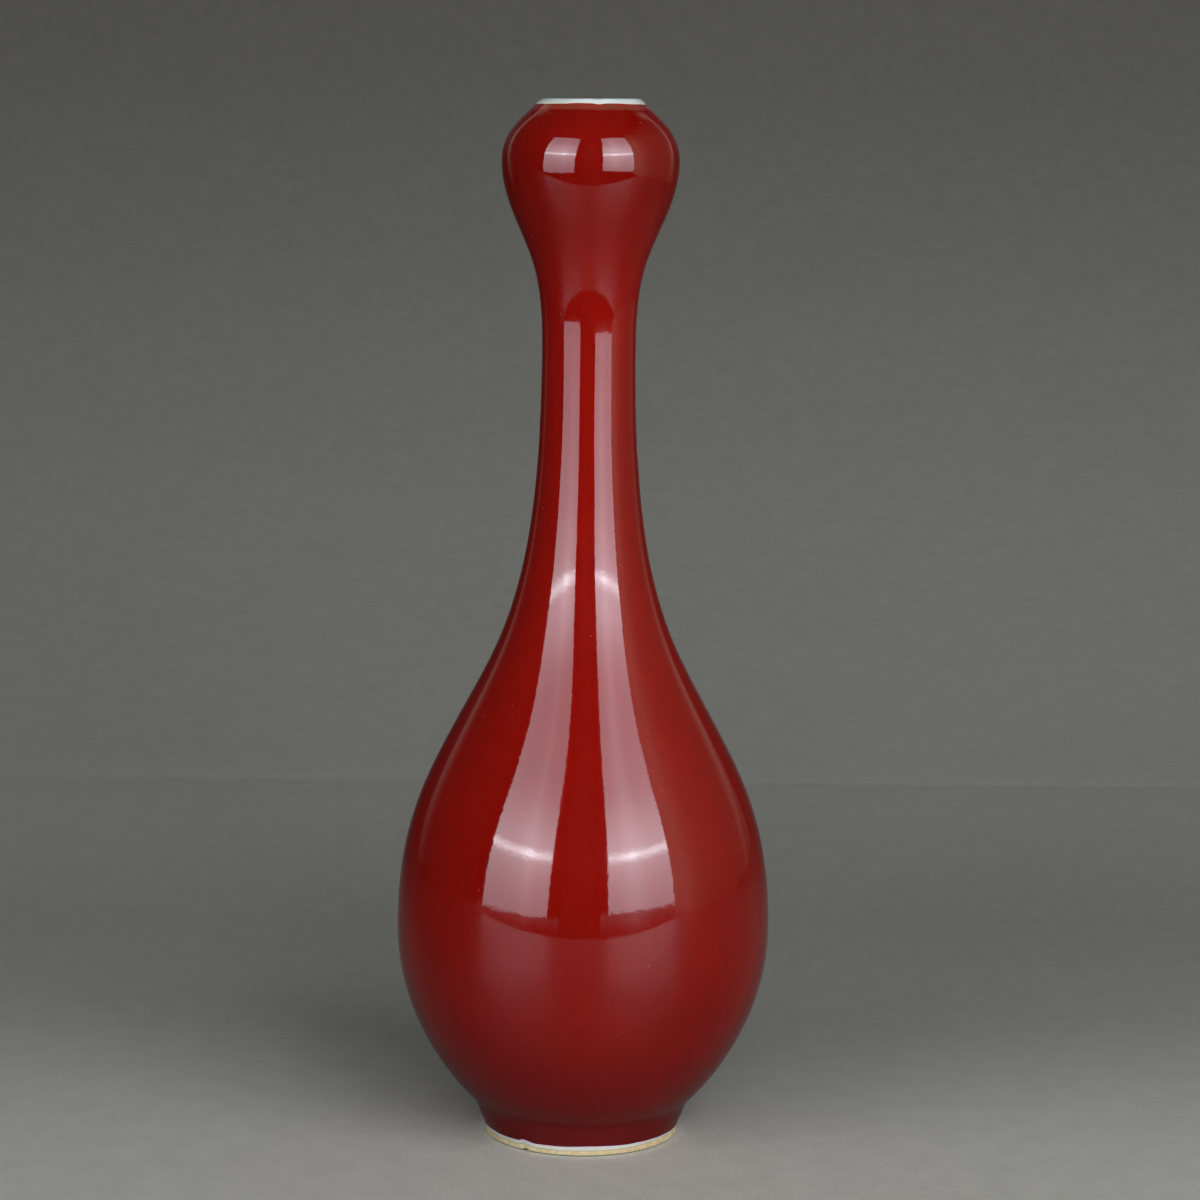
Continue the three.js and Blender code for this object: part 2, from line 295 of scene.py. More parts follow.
lip_line = tilt - LIP_SAG - LIP_DIP_DEPTH * dip


def with_edges(lengths):
    """Lengths along the profile for each row and column, moved near the foot and the rim so
    that a row there follows the ragged edge of the red glaze."""
    lengths = np.asarray(lengths, float)[:, None]
    at_foot = 1 - smoothstep(lengths, FOOT_EDGE, FOOT_EDGE + EDGE_FADE)
    at_rim = smoothstep(lengths, RIM_EDGE - EDGE_FADE, RIM_EDGE)
    return lengths + at_foot * foot_edge_line + at_rim * rim_edge_line


def rows_between(low, high, step):
    """Lengths from one to another, both included, about a step apart."""
    return np.linspace(low, high, max(1, round((high - low) / step)) + 1)


def spin(outline):
    """An outline of radius and height, the same in every column."""
    return np.repeat(np.asarray(outline, float)[:, None, :], len(ANGLES), axis=1)


def layer(lengths, depth):
    """Rows of a layer of the wall, at a depth that may depend on the height."""
    place, inward = profile_at(with_edges(lengths))
    deep = depth(place[..., 1]) if callable(depth) else depth
    return place + inward * np.asarray(deep)[..., None]


def under_clear(height):
    """Depth of the clay's inside, under the clear glaze."""
    return wall_at(height) - CLEAR_GLAZE


def throwing_waves(rows):
    """Slight unevenness of a thrown and turned surface, always inwards."""
    rng = np.random.default_rng(THROWING_SEED)
    height = rows[..., 1]
    waves = np.zeros_like(height)
    for rounds, rise in THROWING_ROUNDS_AND_RISES:
        turn = rng.uniform(0, 2 * math.pi)
        waves += np.cos(rounds * ANGLES + 2 * math.pi * height / rise + turn)
    return THROWING_WAVE * (waves.max() - waves)


def turned(name, rows, attributes=None):
    """A mesh from rows of radius and height, one pair for each column. An outline that starts
    and ends on the axis is closed there, and any other is closed on itself."""
    on_axis = rows[0, 0, 0] == 0
    ring = rows[1:-1] if on_axis else rows
    count, columns = ring.shape[:2]
    x = ring[..., 0] * np.cos(ANGLES)
    y = ring[..., 0] * np.sin(ANGLES)
    points = np.stack([x, y, ring[..., 1]], -1).reshape(-1, 3)
    index = np.arange(count * columns).reshape(count, columns)
    after = np.roll(index, -1, axis=1)
    upper = index[1:] if on_axis else np.roll(index, -1, axis=0)
    upper_after = after[1:] if on_axis else np.roll(after, -1, axis=0)
    lower, lower_after = (index[:-1], after[:-1]) if on_axis else (index, after)
    faces = np.stack([lower, lower_after, upper_after, upper], -1).reshape(-1, 4).tolist()
    if on_axis:
        first, last = len(points), len(points) + 1
        poles = [[0, 0, rows[0, 0, 1]], [0, 0, rows[-1, 0, 1]]]
        points = np.vstack([points, poles])
        faces += [[first, b, a] for a, b in zip(index[0].tolist(), after[0].tolist())]
        faces += [[last, a, b] for a, b in zip(index[-1].tolist(), after[-1].tolist())]
    mesh = bpy.data.meshes.new(name)
    mesh.from_pydata(points.tolist(), [], faces)
    for key, values in (attributes or {}).items():
        stored = mesh.attributes.new(key, "FLOAT", "POINT")
        stored.data.foreach_set("value", np.ravel(values).astype(np.float32))
    mesh.shade_smooth()
    mesh.set_sharp_from_angle(angle=math.radians(SHARP_ANGLE))
    piece = bpy.data.objects.new(name, mesh)
    bpy.context.scene.collection.objects.link(piece)
    return piece


def fit(piece, node, material):
    """The piece rides on the one body and stands for its node of the frame."""
    piece.data.materials.append(material)
    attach(piece, "root")
    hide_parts(node)


def arc(centre, radius, start, end, steps):
    """Points of a circular arc between two headings."""
    turns = np.linspace(start, end, steps + 1)
    return np.array([centre + radius * heading(turn) for turn in turns])


def lip(inset):
    """The round lip, over from the outside to the inside, inset from the finished surface."""
    place, inward = profile_at(np.array(LIP_START))
    centre = place + inward * WALL_NECK / 2
    rows = spin(arc(centre, WALL_NECK / 2 - inset, RIM_SLOPE - UPRIGHT, RIM_SLOPE + UPRIGHT, 2 * ARC_STEPS))
    rows[..., 1] += lip_line
    return rows


def bowl(depth, floor_height):
    """The inside of the floor, from the end of the wall down to the middle."""
    lengths = length_at(FLOOR_BLEND_HEIGHT) + np.array([0, WALL_END_STEP])
    wall_end, wall_next = layer(lengths, depth)[:, 0]
    down = (wall_end - wall_next) / np.linalg.norm(wall_end - wall_next)
    control = (
        wall_end,
        wall_end + down * FLOOR_BLEND_REACH,
        (FLOOR_FLAT_REACH, floor_height),
        (0, floor_height),
    )
    return spin(bezier(control, 2 * ARC_STEPS)[0][1:])


bare_foot_radius = FOOT_RADIUS - RED_GLAZE
recess_radius = bare_foot_radius - FOOT_RING_WIDTH
glazed_floor = RECESS_DEPTH + FLOOR_THICKNESS
clay_floor = glazed_floor - CLEAR_GLAZE
floor_start = length_at(FLOOR_BLEND_HEIGHT)
seam_edges = [
    (length_at(seam - SLIP_THICKNESS / 2), length_at(seam + SLIP_THICKNESS / 2))
    for seam in SEAM_HEIGHTS
]


def recess(inset):
    """The recess under the base, from the glaze edge on its wall to its middle."""
    wall_radius = recess_radius + inset
    ceiling = RECESS_DEPTH + inset
    centre = np.array((wall_radius - RECESS_FILLET, ceiling - RECESS_FILLET))
    return np.vstack([
        [(wall_radius, BASE_GLAZE_EDGE)],
        arc(centre, RECESS_FILLET, 0, UPRIGHT, ARC_STEPS // 2),
        [(radius, ceiling) for radius in RECESS_RINGS],
        [(0, ceiling)],
    ])


def clay_foot():
    """Bare clay from the middle of the recess, round the foot ring, up to the white line."""
    ring_inside = recess_radius + FOOT_INNER_BEVEL
    ring_outside = bare_foot_radius - FOOT_ROUNDING
    across = np.linspace(ring_inside, ring_outside, FOOT_RINGS)
    t = np.linspace(0, 1, FOOT_CORNER_STEPS + 1)[1:, None]
    corner = (
        (1 - t) ** 2 * np.array((ring_outside, 0))
        + 2 * (1 - t) * t * np.array((bare_foot_radius, FOOT_UNDERCUT))
        + t**2 * np.array((bare_foot_radius, FOOT_ROUNDING_HEIGHT))
    )
    rows = spin(np.vstack([
        recess(CLEAR_GLAZE)[::-1],
        [(recess_radius, BASE_GLAZE_EDGE), (recess_radius, FOOT_INNER_BEVEL)],
        [(radius, 0) for radius in across],
        corner,
    ]))
    near_edge = smoothstep(rows[..., 0], ring_outside - NICK_REACH, ring_outside)
    low = 1 - smoothstep(rows[..., 1], 0, 2 * NICK_HEIGHT)
    rows[..., 1] += NICK_HEIGHT * nick * near_edge * low
    rows[..., 0] -= NICK_INWARD * NICK_HEIGHT * nick * near_edge * low
    top = np.stack([np.full_like(ANGLES, bare_foot_radius), white_low_edge()], -1)
    return np.concatenate([rows, top[None]])


def white_low_edge():
    """Height of the lower edge of the white line, round the pot."""
    return FOOT_LINE_HEIGHT - WHITE_LINE_WIDTH + white_edge_line


def lower_body():
    """The foot, the lower half of the body and its floor."""
    top = seam_edges[0][0]
    return turned("lower_body_clay", np.concatenate([
        clay_foot(),
        layer(rows_between(FOOT_EDGE, top, HIDDEN_STEP), RED_GLAZE),
        layer(rows_between(floor_start, top, HIDDEN_STEP)[::-1], under_clear),
        bowl(under_clear, clay_floor),
    ]))


def section(name, low, high):
    """A section of clay or slip between two lengths along the profile."""
    lengths = rows_between(low, high, HIDDEN_STEP)
    return turned(name, np.concatenate([
        layer(lengths, RED_GLAZE),
        layer(lengths[::-1], under_clear),
    ]))


def garlic_head():
    """The bulb above the top seam, with its lip."""
    lengths = rows_between(seam_edges[2][1], RIM_EDGE, HIDDEN_STEP / 2)
    return turned("garlic_head_clay", np.concatenate([
        layer(lengths, RED_GLAZE),
        lip(CLEAR_GLAZE),
        layer(lengths[::-1], under_clear),
    ]))


def red_glaze():
    """The red coat, which ends in a rounded bead at the foot. It keeps its distance from the
    foot edge and the rim edge for its colour and its painted shade."""
    outer_lengths = rows_between(FOOT_EDGE, RIM_EDGE, FINE_STEP)
    bead = FOOT_EDGE + GLAZE_BEAD * np.array(BEAD_ROWS)
    outer_lengths = np.concatenate([bead, outer_lengths[1:]])
    hidden = layer(rows_between(FOOT_EDGE, RIM_EDGE, HIDDEN_STEP)[::-1], RED_GLAZE)
    place, inward = profile_at(with_edges(outer_lengths))
    past_bead = smoothstep(outer_lengths, FOOT_EDGE - GLAZE_BEAD, FOOT_EDGE + GLAZE_BEAD)
    rounding = BEAD_ROUNDING * RED_GLAZE * (1 - past_bead)
    outer = place + inward * rounding[:, None, None]
    outer = outer + inward * throwing_waves(outer)[..., None]
    rows = np.concatenate([outer, hidden])
    outer_gap = np.repeat((outer_lengths - FOOT_EDGE)[:, None], len(ANGLES), axis=1)
    hidden_gap = np.zeros(hidden.shape[:2])
    rim_gap = np.repeat((RIM_EDGE - outer_lengths)[:, None], len(ANGLES), axis=1)
    return turned("red_glaze_coat", rows, {
        "foot_gap": np.concatenate([outer_gap, hidden_gap]),
        "rim_gap": np.concatenate([rim_gap, hidden_gap]),
    })


def white_foot_line():
    """A thin bead of white glaze under the edge of the red one."""
    low = white_low_edge()
    high = profile_at(with_edges([FOOT_EDGE]))[0][0, :, 1]
    rows = []
    for share in np.linspace(0, 1, WHITE_LINE_ROWS):
        thickness = WHITE_LINE_GLAZE * math.sqrt(1 - (1 - share) ** WHITE_LINE_BULGE)
        rows.append(np.stack([
            np.full_like(ANGLES, bare_foot_radius + thickness),
            low + (high - low) * share,
        ], -1))
    rows.append(np.stack([np.full_like(ANGLES, bare_foot_radius), high], -1))
    return turned("white_foot_line_glaze", np.array(rows))


def clear_inner_glaze():
    """The clear glaze over the lip and down the whole inside."""
    hidden = rows_between(floor_start, RIM_EDGE, HIDDEN_STEP)
    shown = rows_between(floor_start, RIM_EDGE, INSIDE_STEP)
    clay_side = np.concatenate([
        layer([RIM_EDGE], RED_GLAZE),
        lip(CLEAR_GLAZE),
        layer(hidden[::-1], under_clear),
        bowl(under_clear, clay_floor),
    ])
    run = layer(rows_between(RIM_EDGE, LIP_START, LIP_LENGTH / LIP_RUN_ROWS)[:-1], 0)
    return turned("lip_and_inner_glaze", np.concatenate([
        clay_side[::-1],
        run,
        lip(0),
        layer(shown[::-1], wall_at),
        bowl(wall_at, glazed_floor),
    ]))


def base_glaze():
    """The clear coat in the recess under the base."""
    return turned("base_glaze_coat", spin(np.vstack([recess(0)[::-1], recess(CLEAR_GLAZE)])))


# Surfaces: refraction of the glazes, used range of a noise, roughness of a crisp one, core of a spot
GLAZE_IOR = 1.46
NOISE_RANGE = (0.3, 0.7)
CRISP = 0.6
SPOT_CORE = 0.6

# Red glaze: colours, their shades along the pot with painted shade over the lower body and the foot, and
# the sizes and weights of its unevenness
RED_DEEP = (0.215, 0.0039, 0.0016)
RED_BRIGHT = (0.267, 0.0053, 0.0024)
RED_TURN = (0.36, 0.64)
RED_ROUGHNESS = (0.04, 0.06)
BROAD_SIZE = 0.03
BROAD_WEIGHT = 0.25
STREAK_SIZE = 0.003
STREAK_SQUEEZE = 0.15
STREAK_WEIGHT = 0.2
GRAIN_SIZE = 0.0007
GRAIN_WEIGHT = 0.55
RED_PEEL_SIZE = 0.0016
RED_PEEL_DEPTH = 0.00001
HEAD_SHADE = 0.77
HEAD_REACH = (0.02, 0.055)
NECK_GAIN = 1.08
NECK_REACH = (0.15, 0.25)
# Painted shade under the belly: the lower body a little darker and the foot much darker
LOW_BODY_SHADE = 0.94
LOW_BODY_REACH = (0.02, 0.05)
FOOT_SHADE = 0.66
FOOT_REACH = (0.0075, 0.0115)
# Pinholes are painted pale, partly as a painted glint in their pits
PINHOLE_AND_GLINT = (0.5, 0.22, 0.18)
PINHOLE_CELL = 0.0045
PINHOLE_RADIUS = 0.00018
PINHOLE_SHARE = 0.7
RIM_BROWN = (0.20, 0.038, 0.022)
RIM_RED = (0.29, 0.024, 0.016)
RIM_PATCH_SIZE = 0.004
RIM_PATCH_TURN = (0.42, 0.6)
RIM_THIN_END = (0.0026, 0.0035)
RIM_THIN_SIZE = 0.002
RIM_THIN_RAGGED = 0.0012
HEM_PURPLE = (0.13, 0.004, 0.03)
HEM_END = (0.00015, 0.00045)

# White glazes: each turns from one white to another between two heights
LIP_TURN = (0.3188, 0.3196)
LIP_WHITE_LOW = (0.72, 0.71, 0.58)
LIP_WHITE_HIGH = (0.67, 0.74, 0.69)
FOOT_LINE_TURN = (0.0025, 0.0031)
FOOT_WHITE_LOW = (0.76, 0.73, 0.55)
FOOT_WHITE_HIGH = (0.70, 0.60, 0.66)
CLOUD_SIZE = 0.006
CLOUD_TONES = (0.96, 1.02)
WHITE_ROUGHNESS = (0.08, 0.14)
WHITE_PEEL_SIZE = 0.0015
WHITE_PEEL_DEPTH = 0.000006

# Bare clay and slip: colours, blotches, grain, dark specks, a paler band just above the ground, and painted
# contact shadow with a little grime at the ground
CLAY_PALE = (0.76, 0.70, 0.37)
CLAY_TOASTED = (0.655, 0.465, 0.205)
SLIP_PALE = (0.60, 0.54, 0.40)
SLIP_TOASTED = (0.55, 0.47, 0.32)
BLOTCH_SIZE = 0.0022
BLOTCH_TURN = (0.3, 0.6)
CLAY_GRAIN_SIZE = 0.00035
CLAY_GRAIN_DEPTH = 0.00004
CLAY_ROUGHNESS = 0.75
# The clay is made paler just above the ground
PALE_BAND_END = (0.0004, 0.0008)
PALE_BAND_SHARE = 0.25
SPECK = (0.3, 0.22, 0.12)
SPECK_CELL = 0.0016
SPECK_RADIUS = 0.0002
SPECK_SHARE = 0.5
# Painted contact shadow, with a little grime, in a dark line along the foot at the ground
CONTACT_SHADE_AND_GRIME = (0.14, 0.115, 0.07)
CONTACT_LINE_START = (0.0, 0.00006)
CONTACT_LINE_END = (0.0002, 0.0004)


def add(tree, kind, inputs=None, **settings):
    """A node with its settings, and its inputs set to numbers or linked to sockets."""
    made = tree.nodes.new(kind)
    for name, value in settings.items():
        setattr(made, name, value)
    for name, value in (inputs or {}).items():
        if isinstance(value, bpy.types.NodeSocket):
            tree.links.new(value, made.inputs[name])
        else:
            made.inputs[name].default_value = value
    return made


def math_of(tree, operation, first, second=0.0):
    """A value worked out from one or two others."""
    return add(tree, "ShaderNodeMath", {0: first, 1: second}, operation=operation).outputs[0]


def plus(tree, first, second):
    """The sum of two values."""
    return math_of(tree, "ADD", first, second)


def minus(tree, first, second):
    """The first value less the second."""
    return math_of(tree, "SUBTRACT", first, second)


def times(tree, first, second):
    """The product of two values."""
    return math_of(tree, "MULTIPLY", first, second)


def noise(tree, vector, size, detail=2.0, rough=0.5):
    """Noise whose blotches are about a size in metres."""
    inputs = {"Vector": vector, "Scale": 1 / size, "Detail": detail, "Roughness": rough}
    return add(tree, "ShaderNodeTexNoise", inputs).outputs[0]


def range_of(tree, value, low, high, to_low=0.0, to_high=1.0):
    """A smooth turn from one value to another while a value goes from low to high."""
    inputs = {"Value": value, "From Min": low, "From Max": high, "To Min": to_low, "To Max": to_high}
    return add(tree, "ShaderNodeMapRange", inputs, interpolation_type="SMOOTHSTEP").outputs[0]


def blend(tree, factor, first, second):
    """One colour turning into another."""
    made = add(tree, "ShaderNodeMix", {0: factor}, data_type="RGBA")
    for socket, value in ((made.inputs[6], first), (made.inputs[7], second)):
        if isinstance(value, bpy.types.NodeSocket):
            tree.links.new(value, socket)
        else:
            socket.default_value = (*value, 1)
    return made.outputs[2]


def new_material(name):
    """A material with its node tree, its shader and the place on the object."""
    material = bpy.data.materials.new(name)
    material.use_nodes = True
    tree = material.node_tree
    shader = tree.nodes["Principled BSDF"]
    place = add(tree, "ShaderNodeTexCoord").outputs["Object"]
    return material, tree, shader, place


def attribute(tree, name):
    """A value that the mesh carries."""
    return add(tree, "ShaderNodeAttribute", attribute_name=name).outputs["Fac"]


def bump(tree, shader, height, distance):
    """Fine relief, as deep as a distance."""
    made = add(tree, "ShaderNodeBump", {"Height": height, "Distance": distance})
    tree.links.new(made.outputs[0], shader.inputs["Normal"])


def spots(tree, vector, cell, radius, share):
    """Round spots of a radius, one in a share of the cells of a size."""
    cells = add(tree, "ShaderNodeTexVoronoi", {"Vector": vector, "Scale": 1 / cell})
    near = range_of(tree, cells.outputs["Distance"], SPOT_CORE * radius / cell, radius / cell, 1.0, 0.0)
    draw = add(tree, "ShaderNodeSeparateColor", {0: cells.outputs["Color"]}).outputs[0]
    return times(tree, near, math_of(tree, "LESS_THAN", draw, share))


def scaled(tree, colour, factor):
    """A colour made darker or lighter by a factor."""
    grey = add(tree, "ShaderNodeCombineColor", {i: factor for i in range(3)}).outputs[0]
    inputs = {0: 1.0, 6: colour, 7: grey}
    return add(tree, "ShaderNodeMix", inputs, data_type="RGBA", blend_type="MULTIPLY").outputs[2]


def red_glaze_material():
    """Deep copper red, faintly mottled and streaked, with a few pinholes painted pale, partly as a
    painted glint in their pits. It is darker on the head and lighter in the neck, thin and brown at the
    rim, and has a purple hem at its lower edge. Painted shade makes it a little darker over the lower body
    and much darker over the foot, under the belly."""
    material, tree, shader, place = new_material("copper_red_glaze")
    squeeze = {"Vector": place, "Scale": (1, 1, STREAK_SQUEEZE)}
    squeezed = add(tree, "ShaderNodeMapping", squeeze).outputs[0]
    broad = noise(tree, place, BROAD_SIZE)
    streaks = noise(tree, squeezed, STREAK_SIZE)
    grain = noise(tree, place, GRAIN_SIZE, rough=CRISP)
    tone = plus(tree, times(tree, broad, BROAD_WEIGHT), times(tree, streaks, STREAK_WEIGHT))
    tone = plus(tree, tone, times(tree, grain, GRAIN_WEIGHT))
    red = blend(tree, range_of(tree, tone, *RED_TURN), RED_DEEP, RED_BRIGHT)
    rim_gap = attribute(tree, "rim_gap")
    red = scaled(tree, red, range_of(tree, rim_gap, *HEAD_REACH, HEAD_SHADE, 1.0))
    # Pinholes painted pale, partly as a painted glint in their pits
    red = blend(tree, spots(tree, place, PINHOLE_CELL, PINHOLE_RADIUS, PINHOLE_SHARE), red, PINHOLE_AND_GLINT)
    wander = times(tree, noise(tree, place, RIM_THIN_SIZE, detail=3, rough=CRISP), RIM_THIN_RAGGED)
    thin = range_of(tree, plus(tree, rim_gap, wander), *RIM_THIN_END, 1.0, 0.0)
    patches = range_of(tree, noise(tree, place, RIM_PATCH_SIZE), *RIM_PATCH_TURN)
    red = blend(tree, thin, red, blend(tree, patches, RIM_BROWN, RIM_RED))
    foot_gap = attribute(tree, "foot_gap")
    # Painted shade under the belly, over the foot and the lower body
    red = scaled(tree, red, range_of(tree, foot_gap, *FOOT_REACH, FOOT_SHADE, 1.0))
    red = scaled(tree, red, range_of(tree, foot_gap, *LOW_BODY_REACH, LOW_BODY_SHADE, 1.0))
    red = scaled(tree, red, range_of(tree, foot_gap, *NECK_REACH, 1.0, NECK_GAIN))
    red = blend(tree, range_of(tree, foot_gap, *HEM_END, 1.0, 0.0), red, HEM_PURPLE)
    tree.links.new(red, shader.inputs["Base Color"])
    shader.inputs["IOR"].default_value = GLAZE_IOR
    tree.links.new(range_of(tree, broad, *NOISE_RANGE, *RED_ROUGHNESS), shader.inputs["Roughness"])
    bump(tree, shader, noise(tree, place, RED_PEEL_SIZE, detail=1), RED_PEEL_DEPTH)
    return material


def white_glaze_material(name, turn, low_white, high_white):
    """Clear glaze over white porcelain, whose white turns between two heights."""
    material, tree, shader, place = new_material(name)
    cloud = noise(tree, place, CLOUD_SIZE)
    height = add(tree, "ShaderNodeSeparateXYZ", {"Vector": place}).outputs["Z"]
    white = blend(tree, range_of(tree, height, *turn), low_white, high_white)
    white = scaled(tree, white, range_of(tree, cloud, *NOISE_RANGE, *CLOUD_TONES))
    tree.links.new(white, shader.inputs["Base Color"])
    shader.inputs["IOR"].default_value = GLAZE_IOR
    tree.links.new(range_of(tree, cloud, *NOISE_RANGE, *WHITE_ROUGHNESS), shader.inputs["Roughness"])
    bump(tree, shader, noise(tree, place, WHITE_PEEL_SIZE, detail=1), WHITE_PEEL_DEPTH)
    return material


def biscuit_material(name, pale, toasted):
    """Bare fired clay, toasted in blotches and paler just above the ground, with a fine grain, dark
    specks, and a dark line along its foot at the ground that is painted contact shadow with a little grime."""
    material, tree, shader, place = new_material(name)
    blotches = noise(tree, place, BLOTCH_SIZE, detail=3, rough=CRISP)
    grain = noise(tree, place, CLAY_GRAIN_SIZE, rough=CRISP)
    height = add(tree, "ShaderNodeSeparateXYZ", {"Vector": place}).outputs["Z"]
    # Paler just above the ground
    pale_band = range_of(tree, height, *PALE_BAND_END, PALE_BAND_SHARE, 0.0)
    clay = blend(tree, range_of(tree, minus(tree, blotches, pale_band), *BLOTCH_TURN), pale, toasted)
    clay = blend(tree, spots(tree, place, SPECK_CELL, SPECK_RADIUS, SPECK_SHARE), clay, SPECK)
    # Painted contact shadow, with a little grime, along the foot at the ground
    above_ground = range_of(tree, height, *CONTACT_LINE_START)
    contact_line = times(tree, above_ground, range_of(tree, height, *CONTACT_LINE_END, 1.0, 0.0))
    clay = blend(tree, contact_line, clay, CONTACT_SHADE_AND_GRIME)
    tree.links.new(clay, shader.inputs["Base Color"])
    shader.inputs["Roughness"].default_value = CLAY_ROUGHNESS
    bump(tree, shader, grain, CLAY_GRAIN_DEPTH)
    return material


def build_vase():
    """All pieces of the vase, from the ground up, and then its glazes."""
    red = red_glaze_material()
    white = white_glaze_material("clear_glaze_on_white", LIP_TURN, LIP_WHITE_LOW, LIP_WHITE_HIGH)
    foot_white = white_glaze_material("foot_line_glaze", FOOT_LINE_TURN, FOOT_WHITE_LOW, FOOT_WHITE_HIGH)
    biscuit = biscuit_material("toasted_biscuit", CLAY_PALE, CLAY_TOASTED)
    slip = biscuit_material("fired_slip", SLIP_PALE, SLIP_TOASTED)
    belly, neck_base, head_base = seam_edges
    fit(lower_body(), "lower_body", biscuit)
    fit(section("belly_slip", *belly), "belly_slip_joint", slip)
    fit(section("upper_body_clay", belly[1], neck_base[0]), "upper_body", biscuit)
    fit(section("neck_slip", *neck_base), "neck_slip_joint", slip)
    fit(section("neck_clay", neck_base[1], head_base[0]), "neck", biscuit)
    fit(section("head_slip", *head_base), "head_slip_joint", slip)
    fit(garlic_head(), "garlic_head", biscuit)
    fit(red_glaze(), "red_glaze", red)
    fit(white_foot_line(), "white_foot_line", foot_white)
    fit(clear_inner_glaze(), "clear_inner_glaze", white)
    fit(base_glaze(), "base_glaze", white)


# Paper: its form, and its tones by the way along it from front to back and up, which are painted light and
# shade
TABLE_FRONT = -0.65
TABLE_HALF_WIDTH = 1.9
SWEEP_END = 2.0
SWEEP_RADIUS = 1.45
SWEEP_STEPS = 36
MIRRORED_SWEEP_RADIUS = 0.7
SWEEP_TOP = 2.4
# Painted light and shade: the seen paper's tones stand in for the fall of light on it and the shadow behind
# the vase
PAPER_TONES = (
    (-0.65, 0.58), (-0.06, 0.54), (0.0, 0.507), (0.11, 0.388), (0.2, 0.35), (0.3, 0.35), (0.45, 0.426),
    (0.55, 0.462), (0.585, 0.444), (0.7, 0.431), (0.85, 0.412), (1.15, 0.37), (1.45, 0.304),
    (1.75, 0.24), (2.0, 0.203), (2.4, 0.175), (4.4, 0.15),
)
# Painted light and shade: the mirrored copy's tones stand in for the light the glaze mirrors
MIRRORED_TONES = (
    (-0.65, 0.26), (-0.25, 0.2), (-0.15, 0.13), (0.0, 0.18), (0.3, 0.28), (0.5, 0.4), (1.1, 0.55),
    (1.5, 0.48), (2.1, 0.26), (2.8, 0.08), (4.4, 0.06),
)
PAPER_WARMTH = (1.0, 0.985, 0.835)
PAPER_WARMTH_HIGH = (1.0, 0.96, 0.775)
PAPER_WARMTH_TURN = (1.1, 2.0)
PAPER_ROUGHNESS = 0.42
MIRRORED_ROUGHNESS = 0.5
MOTTLE_SIZE = 0.012
MOTTLE_TONES = (0.955, 1.035)
FIBRE_SIZE = 0.0014
FIBRE_TONES = (0.94, 1.06)
# Painted light on the seen paper: a gleam round the foot, gains across it, and more on the left where less
# light falls
FOOT_GLEAM = 1.11
FOOT_GLEAM_REACH = (FOOT_RADIUS + 0.0004, FOOT_RADIUS + 0.003)
ACROSS_GAINS = (0.975, 1.02)
ACROSS_REACH = (-0.3, 0.3)
LEFT_GAIN = 1.13
LEFT_REACH = (-0.16, 0.0)
LEFT_MIDDLE = 0.3
LEFT_WIDTH = 0.25
# Painted shade on the mirrored paper, far to the left and at the back
MIRRORED_LEFT_SHADE = 0.35
MIRRORED_LEFT_REACH = (-0.45, -0.1)
MIRRORED_BACK_SHADE = 0.25
MIRRORED_BACK_AZIMUTHS = (152, 175)
MIRRORED_BACK_START = (0.1, 0.6)

# Lights: strengths and colours, with azimuths and elevations in degrees as seen from the vase
BOX_DISTANCE = 1.3
LEFT_BOX = {
    "facing": -32,
    "edges": (-63.1, -21.3),
    "distance": 1.22,
    "heights": (0.045, 1.64),
    "lean": (1.5, 4.8),
    "strength": 3.05,
    "flags": ((-71, -63.1), (-21.3, -12)),
}
RIGHT_BOX = {
    "facing": 30,
    "edges": (14.8, 57),
    "distance": 1.395,
    "heights": (0.068, 1.9),
    "lean": (2.4, 1),
    "strength": 3.5,
    "flags": ((6, 14.8),),
}
LEFT_FILL = {"facing": -17, "edges": (-63, -20), "heights": (0.015, 1.72), "strength": 1.9}
RIGHT_FILL = {"facing": 15, "edges": (14.5, 57), "heights": (0.035, 1.75), "strength": 3.3}
WALL_FILL = {"facing": 90, "edges": (60, 120), "heights": (0.0, 2.0), "strength": 0.2}
KEY_FILL = {"azimuth": 5, "elevation": 25, "distance": 1.5, "size": 0.8, "strength": 3.4}
LEFT_LAMP = {
    "azimuths": (-68, -15),
    "hot": -36,
    "power": 1.0,
    "glow_width": 12,
    "ray_width": 3,
    "ray_strength": 0.4,
}
RIGHT_LAMP = {
    "azimuths": (10, 62),
    "hot": 32,
    "power": 1.04,
    "glow_width": 22,
    "ray_width": 7,
    "ray_strength": 1.0,
}
LAMP_DISTANCE = 4
LAMP_ELEVATION = 18
LAMP_COLUMNS = 25
LAMP_HEIGHTS = (-0.9, 4.4)
EYE_HEIGHT = 0.1
VASE_MIDDLE = 0.16
LIGHT_COLOUR = (0.97, 1.0, 1.1)
WARM_LIGHT = (1.0, 0.97, 0.8)
GLOW_ABOVE = 16
GLOW_BELOW = 11
GLOW_END = (-9, 3)
GLOW_STRENGTH = 5.5
GLOW_EVEN_SHARE = 0.65
GLOW_HOT_SHARE = 0.35
LINE_WIDTH = 1.4
LINE_STRENGTH = 7.6
HOT_WIDTH = 5
HOT_STRENGTH = 5.4
